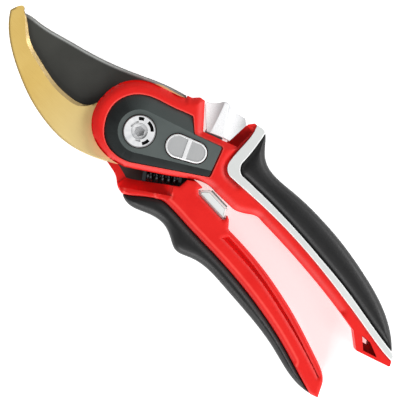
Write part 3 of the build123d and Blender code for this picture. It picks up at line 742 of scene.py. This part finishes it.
@dataclass
class Jaws:
    """Hook jaw and cutting blade."""

    hook_top: float = 12.5 * MM
    blade_top: float = 9.45 * MM
    spine_depth: float = 1.2 * MM
    spine_end: float = 25.0 * MM
    jaw_end: float = -20.0 * MM
    steep: float = 0.3
    shallow: float = 0.93
    ground: Range = (-0.97, -0.05)
    ground_side: float = 0.2
    cell: float = 0.4 * MM
    break_reach: float = 0.9 * MM
    break_drop: float = 0.3 * MM
    spine_painted_highlight: Range = (0.85 * MM, 0.6 * MM)

    def build(self) -> None:
        """Shape and dress both jaws."""
        self.hook()
        self.blade()

    def hook(self) -> None:
        """Make the gold hook, with a rolled break along its outer edge and brown painted shade on that break
        and on the side walls.
        """
        hook = NodeCopy("hook_plate")
        # Painted shade: the side walls take the darker brown gold.
        hook.paint(lambda face: abs(face.normal.z) < self.steep, 2)
        hook.paint(self.on_inner_bevel, 1)
        hook.grid_top(self.hook_top, self.cell)
        # Painted shade: a brown line along the outer edge that fades across the break.
        hook.roll(self.hook_top - self.break_drop, ANY_FOOT, self.break_reach, self.break_drop,
                  (0.0, self.break_reach), self.on_outside)
        hook.show("hook_half", "gold_steel", GOLD, GOLD_BEVEL, GOLD_PAINTED_SHADE)

    def on_outside(self, edge: bmesh.types.BMEdge) -> bool:
        """Tell whether an edge is on the outer curve of the hook or round its tip."""
        wall = min(edge.link_faces, key=lambda face: abs(face.normal.z))
        return wall.normal.y < self.steep and edge.verts[0].co.x < 0.0

    def on_spine(self, edge: bmesh.types.BMEdge) -> bool:
        """Tell whether an edge is on the spine of the blade."""
        wall = min(edge.link_faces, key=lambda face: abs(face.normal.z))
        return wall.normal.y > self.steep and edge.verts[0].co.x < self.spine_end

    def on_inner_bevel(self, face: bmesh.types.BMFace) -> bool:
        """Tell whether a face is on the polished bevel along the throat."""
        centre = face.calc_center_median()
        return self.steep < face.normal.z < self.shallow and face.normal.y > 0 and centre.x < self.jaw_end

    def on_ground_edge(self, face: bmesh.types.BMFace) -> bool:
        """Tell whether a face is on the ground slope behind the blade's cutting edge."""
        sloping = self.ground[0] < face.normal.z < self.ground[1] and face.normal.y < self.ground_side
        return sloping and face.calc_center_median().x < self.jaw_end

    def blade(self) -> None:
        """Make the black blade, with a painted highlight line beside its broken spine."""
        blade = NodeCopy("cutting_blade")
        blade.paint(self.on_ground_edge, 1)
        blade.grid_top(self.blade_top, self.cell)
        # Painted highlight: a light grey line on the flat top just inside the spine; the surface is not
        # moved.
        blade.roll(self.blade_top - self.spine_depth, ANY_FOOT, self.spine_painted_highlight[0], 0.0, self.spine_painted_highlight,
                   self.on_spine)
        blade.show("blade_half", "black_blade", BLADE, SPINE)


@dataclass
class Casing:
    """Red front casing with its dark panel."""

    face: float = 17.5 * MM
    pocket_feet: Range = (13.8 * MM, 16.2 * MM)
    lip: float = 0.6 * MM
    lip_drop: float = 0.12 * MM
    outer_margin: float = 0.6 * MM
    outer_feet: Range = (-1.0 * MM, 13.6 * MM)
    tail: float = 112.0 * MM
    reach: float = 3.8 * MM
    drop: float = 1.9 * MM
    cell: float = 0.45 * MM
    panel_heights: Range = (15.5 * MM, 18.0 * MM)
    panel_edge: float = 0.2 * MM
    panel_face: float = 17.85 * MM
    # Painted shade on the panel: full on the sides, and on the slopes according to the way they face.
    side_steep: float = 0.5
    least_lean: float = 0.01
    painted_shade_base: float = 0.75
    painted_shade_by_y: float = 0.5
    painted_shade_by_x: float = 0.4

    def build(self) -> None:
        """Shape and dress the casing and the panel."""
        self.shell()
        self.panel()

    def shell(self) -> None:
        """Make the casing, rolled down to its outline and with painted highlights along its pocket edges."""
        shell = NodeCopy("thumb_handle_front_shell")
        shell.grid_top(self.face, self.cell)
        top = self.face - self.outer_margin
        shell.roll(top, self.outer_feet, self.reach, self.drop, keep=self.before_tail)
        # Painted highlight: a light red line along the pocket edges.
        shell.roll(self.face - self.drop, self.pocket_feet, self.lip, self.lip_drop, (0.0, self.lip))
        shell.show("hook_half", "red", RED)

    def before_tail(self, edge: bmesh.types.BMEdge) -> bool:
        """Tell whether an edge is not at the flat tail with the lanyard hole."""
        return edge.verts[0].co.x < self.tail

    def panel(self) -> None:
        """Make the panel, with painted shade on its sides and on the slopes that face away from the thumb
        side and towards the tips.
        """
        panel = NodeCopy("head_insert")
        panel.round_off(panel.corners(*self.panel_heights), self.panel_edge, 2)
        # Painted shade, set per face from its slope and the way it faces.
        panel.shade(self.painted_shade_share)
        panel.show("hook_half", "dark_panel", PANEL)

    def painted_shade_share(self, face: bmesh.types.BMFace) -> float:
        """Tell how much painted shade a face of the panel gets.

        Args:
            face: The face.

        Returns:
            0 on the raised top, up to 1 on the slopes and the sides.
        """
        if face.normal.z > FLAT_UP and face.calc_center_median().z > self.panel_face:
            return 0.0
        if face.normal.z < self.side_steep:
            return 1.0
        lean = face.normal.to_2d()
        way = lean.normalized() if lean.length > self.least_lean else Vector((0.0, 1.0))
        return min(1.0, max(0.0, self.painted_shade_base - self.painted_shade_by_y * way.y - self.painted_shade_by_x * way.x))


@dataclass
class Pivot:
    """Bolt, nut, washers and bush."""

    window_heights: Range = (17.0 * MM, 18.3 * MM)
    window_ring: Range = (4.5 * MM, 6.1 * MM)
    steepest: float = 0.8

    def build(self) -> None:
        """Dress the pivot."""
        # Painted shade on the steep faces of nut and bolt, and painted shadow inside the wrench windows.
        nut = NodeCopy("pivot_nut").shade(self.steep)
        nut.paint(self.in_window, 1)
        nut.show("hook_half", "chrome", CHROME, NUT_WINDOW_SHADOW)
        NodeCopy("pivot_bolt").shade(self.steep).show("hook_half", "plain_steel", CHROME)
        carry_over("lock_washer", STEEL)
        carry_over("thrust_washer", STEEL)
        carry_over("pivot_bush", BRONZE)

    def steep(self, face: bmesh.types.BMFace) -> float:
        """Give 1 for a steep face, which gets painted shade, and 0 for a flat one."""
        return 1.0 if face.normal.z < self.steepest else 0.0

    def in_window(self, face: bmesh.types.BMFace) -> bool:
        """Tell whether a face is inside one of the nut's wrench windows.

        Args:
            face: The face.

        Returns:
            Whether it is.
        """
        centre = face.calc_center_median()
        return (self.window_heights[0] < centre.z < self.window_heights[1]
                and self.window_ring[0] < centre.xy.length < self.window_ring[1])


@dataclass
class Selector:
    """Rocking opening selector."""

    top: float = 18.7 * MM
    edge: float = 0.2 * MM

    def build(self) -> None:
        """Shape and dress the selector."""
        button = NodeCopy("opening_selector")
        button.round_off(button.corners(self.top - LEVEL, self.top + LEVEL), self.edge, 2)
        button.show("selector", "white_lock", WHITE)
        pads = NodeCopy("selector_pads")
        pads.show("selector", "grey_pad", PAD)
        carry_over("selector_stop", STEEL)
        carry_over("selector_pin", STEEL)


@dataclass
class ThumbLock:
    """Pearl white sliding lock."""

    voxel: float = 0.16 * MM
    passes: int = 3
    slope_painted_shade: float = 2.5

    def build(self) -> None:
        """Shape and dress the lock."""
        lock = NodeCopy("thumb_lock").soften(self.voxel, self.passes)
        # Painted shade: the steeper a face, the more grey it shows.
        lock.shade(lambda face: min(1.0, self.slope_painted_shade * (1 - max(0.0, face.normal.z))))
        lock.show("lock_slide", "white_lock", PEARL)
        carry_over("lock_latch", LATCH)
        carry_over("latch_pin", STEEL)


@dataclass
class SoftGrip:
    """One padded grip, crowned across its width."""

    node: str
    body: str
    face: float = 19.0 * MM
    cell: float = 0.9 * MM
    lowest: float = 16.3 * MM
    reach: float = 6.0 * MM
    drop: float = 1.3 * MM
    voxel: float = 0.42 * MM
    passes: int = 6

    def build(self) -> None:
        """Shape and dress the grip."""
        grip = NodeCopy(self.node).grid_top(self.face, self.cell)
        grip.roll(self.lowest, ANY_FOOT, self.reach, self.drop)
        grip.soften(self.voxel, self.passes)
        grip.show(self.body, "soft_grip", GRIP)


@dataclass
class ThumbHandle:
    """Back shell, trim and grip of the thumb handle."""

    back: float = 1.5 * MM
    shell_round: float = 1.0 * MM
    trim_top: float = 18.2 * MM
    trim_bottom: float = 0.8 * MM
    trim_round: float = 0.5 * MM

    def build(self) -> None:
        """Shape and dress the handle."""
        shell = NodeCopy("thumb_handle_back_shell")
        # Painted highlight in light red on the rounded back edges.
        shell.round_off(shell.corners(self.back - LEVEL, self.back + LEVEL), self.shell_round, 3)
        shell.show("hook_half", "red", RED)
        trim = NodeCopy("thumb_handle_trim")
        edges = trim.corners(self.trim_top - LEVEL, self.trim_top + LEVEL)
        edges += trim.corners(self.trim_bottom - LEVEL, self.trim_bottom + LEVEL)
        # Painted highlight in white on the rounded top and bottom edges.
        trim.round_off(edges, self.trim_round, 3)
        trim.show("hook_half", "light_trim", TRIM)
        SoftGrip("thumb_grip", "hook_half").build()
        carry_over("thumb_handle_screws", STEEL)
        carry_over("hook_rivets", STEEL)


@dataclass
class FingerHandle:
    """Finger handle with its grip and the stop block."""

    face: float = 17.5 * MM
    stop_heights: Range = (0.0, 20.0 * MM)
    stop_round: float = 0.3 * MM
    cell: float = 0.45 * MM
    grip_margin: float = 0.8 * MM
    grip_feet: Range = (13.5 * MM, 15.5 * MM)
    grip_reach: float = 2.6 * MM
    grip_drop: float = 0.7 * MM
    # Painted highlight line beside the grip: distance from the wall and width.
    ridge_painted_highlight: Range = (2.4 * MM, 0.7 * MM)
    hand_margin: float = 1.4 * MM
    hand_feet: Range = (-1.0 * MM, 12.5 * MM)
    hand_reach: float = 1.8 * MM
    hand_drop: float = 0.5 * MM
    groove_floor: float = 16.4 * MM
    groove_lip: float = 0.6 * MM
    groove_start: float = 50.0 * MM
    groove_side: float = -15.5 * MM
    scoop_top: float = 15.5 * MM
    scoop_end: float = 34.0 * MM
    scoop_slope: float = 0.2

    def build(self) -> None:
        """Shape and dress the handle."""
        shell = NodeCopy("finger_handle_front_shell")
        # Painted shade: the groove and the scoop take the deeper red.
        shell.paint(self.in_recess, 1)
        shell.grid_top(self.face, self.cell)
        top = self.face - self.grip_margin
        # Painted highlight: a light red line along the ridge beside the grip.
        shell.roll(top, self.grip_feet, self.grip_reach, self.grip_drop, self.ridge_painted_highlight)
        shell.roll(self.face - self.hand_margin, self.hand_feet, self.hand_reach, self.hand_drop)
        shell.show("blade_half", "red", RED, RED_PAINTED_RECESS_SHADE)
        NodeCopy("finger_handle_back_shell").show("blade_half", "red", RED)
        SoftGrip("finger_grip", "blade_half").build()
        stop = NodeCopy("bumper")
        # Painted shade in grey-green on the rounded edges of the stop.
        stop.round_off(stop.corners(*self.stop_heights), self.stop_round, 2)
        stop.show("blade_half", "silver_stop", BUMPER)
        carry_over("bumper_pad", BUMPER_SOFT)
        carry_over("finger_handle_screws", STEEL)
        carry_over("blade_rivets", STEEL)

    def in_recess(self, face: bmesh.types.BMFace) -> bool:
        """Tell whether a face is in the long groove or in the scoop near the head, where the red gets painted
        shade.

        Args:
            face: The face.

        Returns:
            Whether it is.
        """
        spot = face.calc_center_median()
        lowest = min(vert.co.z for vert in face.verts)
        at_groove = spot.x > self.groove_start and spot.y > self.groove_side
        in_groove = at_groove and self.groove_floor - LEVEL < lowest < self.face - self.groove_lip
        in_scoop = spot.x < self.scoop_end and spot.z < self.scoop_top and face.normal.z > self.scoop_slope
        return in_groove or in_scoop


@dataclass
class ReturnSpring:
    """Compression spring between its two seats."""

    turn: float = math.radians(38)
    out: float = 17.2 * MM
    start: float = 5.5 * MM
    end: float = 19.2 * MM
    height: float = 12.9 * MM
    coil: float = 2.0 * MM
    wire: float = 0.6 * MM
    open_turns: int = 4
    steps: int = 20
    sides: int = 10

    def build(self) -> None:
        """Wind the spring and dress its seats."""
        shape = self.wind()
        spring = put_down(shape, "return_spring_coil", [SPRING])
        self.place(self.start)
        self.place(self.end)
        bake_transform(spring)
        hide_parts("return_spring")
        log.info("%s: %d faces", spring.name, len(spring.data.polygons))
        carry_over("fixed_spring_seat", SEAT)
        carry_over("moving_spring_seat", SEAT)

    def place(self, along: float) -> tuple[float, float, float]:
        """Give a point on the spring's own axis.

        Args:
            along: Distance along the spring's line, in metres.

        Returns:
            The point in the shears' frame.
        """
        point = Matrix.Rotation(self.turn, 4, "Z") @ Vector((along, -self.out, self.height))
        return (point.x, point.y, point.z)

    def wind(self) -> bmesh.types.BMesh:
        """Wind a wire section into a closed end turn, open turns and another closed end turn.

        Returns:
            The spring, in place.
        """
        shape = bmesh.new()
        ring = bmesh.ops.create_circle(shape, cap_ends=False, radius=self.wire, segments=self.sides)
        section = ring["verts"]
        upright = Matrix.Rotation(math.pi / 2, 3, "X")
        bmesh.ops.rotate(shape, verts=section, cent=(0, 0, 0), matrix=upright)
        bmesh.ops.translate(shape, verts=section, vec=(self.start + self.wire, 0, self.coil))
        half_wires, closed_turns = 2 * self.wire, 4 * self.wire
        rest = self.end - self.start - half_wires - closed_turns
        last = self.sweep(shape, section + list(shape.edges), 1, 2 * self.wire)
        last = self.sweep(shape, last, self.open_turns, rest / self.open_turns)
        self.sweep(shape, last, 1, 2 * self.wire)
        bmesh.ops.holes_fill(shape, edges=[edge for edge in shape.edges if edge.is_boundary], sides=0)
        bmesh.ops.recalc_face_normals(shape, faces=shape.faces)
        move = Matrix.Rotation(self.turn, 4, "Z") @ Matrix.Translation((0, -self.out, self.height))
        bmesh.ops.transform(shape, matrix=move, verts=shape.verts)
        return shape

    def sweep(self, shape: bmesh.types.BMesh, section: list, turns: int, pitch: float) -> list:
        """Carry the wire's section round some turns.

        Args:
            shape: The bmesh it is in.
            section: Vertices and edges of the section.
            turns: Number of turns.
            pitch: Advance of each turn, in metres.

        Returns:
            The section where the turns end.
        """
        steps = turns * self.steps
        made = bmesh.ops.spin(shape, geom=section, cent=(0, 0, 0), axis=(1, 0, 0),
                              dvec=(pitch / self.steps, 0, 0), angle=2 * math.pi * turns, steps=steps,
                              use_merge=False, use_duplicate=False)
        return made["geom_last"]


# ---------------------------------------------------------------- floor, lights and camera


@dataclass
class Softbox:
    """One soft studio lamp."""

    name: str
    place: tuple[float, float, float]
    size: tuple[float, float]
    power: float

    def build(self, aim: Vector) -> None:
        """Hang the lamp and turn it to the shears.

        Args:
            aim: Point it looks at.
        """
        lamp = bpy.data.lights.new(self.name, "AREA")
        lamp.shape = "RECTANGLE"
        lamp.size = self.size[0]
        lamp.size_y = self.size[1]
        lamp.energy = self.power
        hung = bpy.data.objects.new(self.name, lamp)
        hung.location = self.place
        hung.rotation_euler = (aim - Vector(self.place)).to_track_quat("-Z", "Y").to_euler()
        bpy.context.scene.collection.objects.link(hung)


@dataclass
class Studio:
    """Pale floor, soft light and a camera straight above."""

    aim: tuple[float, float, float] = (0.0381, -0.0011, 0.0175)
    view_width: float = 0.1667
    lens: float = 200.0
    sensor: float = 36.0
    turn: float = math.radians(47)
    floor_size: float = 3.0
    floor_lift: float = 0.55
    ambient: float = 0.25
    lamps: list[Softbox] = field(default_factory=lambda: [
        Softbox("lower_left_box", (0.35, -0.75, 0.45), (0.5, 0.5), 7.7),
        Softbox("upper_right_box", (0.4, 0.72, 0.5), (0.5, 0.5), 7.1),
        Softbox("handle_end_box", (0.8, 0.0, 0.7), (0.4, 0.4), 2.0),
    ])

    def build(self) -> None:
        """Set up the floor, the light and the camera."""
        self.floor()
        self.light()
        self.camera()

    def floor(self) -> None:
        """Lay the pale floor."""
        shape = bmesh.new()
        bmesh.ops.create_grid(shape, x_segments=8, y_segments=8, size=self.floor_size / 2)
        made = put_down(shape, "studio_floor", [])
        pale = bpy.data.materials.new("pale_floor")
        pale.use_nodes = True
        bench = Bench(pale.node_tree)
        shader = pale.node_tree.nodes["Principled BSDF"]
        cloud = bench.add("TexNoise", Vector=bench.add("TexCoord").outputs["Object"], Scale=3.0).outputs[0]
        bench.feed(shader, "Base Color", bench.blend(cloud, linear(250, 250, 250), linear(253, 253, 253)))
        shader.inputs["Roughness"].default_value = 0.9
        shader.inputs["Emission Color"].default_value = (1.0, 1.0, 1.0, 1.0)
        shader.inputs["Emission Strength"].default_value = self.floor_lift
        made.data.materials.append(pale)

    def light(self) -> None:
        """Light the room evenly and hang the lamps."""
        world = bpy.data.worlds.new("studio")
        world.use_nodes = True
        background = world.node_tree.nodes["Background"]
        background.inputs["Color"].default_value = (1.0, 1.0, 1.0, 1.0)
        background.inputs["Strength"].default_value = self.ambient
        bpy.context.scene.world = world
        for lamp in self.lamps:
            lamp.build(Vector(self.aim))

    def camera(self) -> None:
        """Stand the camera straight above the shears."""
        data = bpy.data.cameras.new("studio_camera")
        data.lens = self.lens
        data.sensor_width = self.sensor
        data.clip_end = 20.0
        stand = bpy.data.objects.new("studio_camera", data)
        distance = self.view_width * self.lens / self.sensor
        stand.location = (self.aim[0], self.aim[1], self.aim[2] + distance)
        stand.rotation_euler = (0.0, 0.0, self.turn)
        bpy.context.scene.collection.objects.link(stand)
        bpy.context.scene.camera = stand
        bpy.context.scene.view_settings.view_transform = "Standard"


def main() -> None:
    """Build every sub-assembly in order, then the studio."""
    logging.basicConfig(level=logging.INFO, format="%(name)s: %(message)s")
    parts = (Jaws(), Casing(), Pivot(), Selector(), ThumbLock(), ThumbHandle(), FingerHandle(),
             ReturnSpring())
    for part in parts:
        log.info("building %s", type(part).__name__)
        part.build()
    Studio().build()


if __name__ == "__main__":
    main()
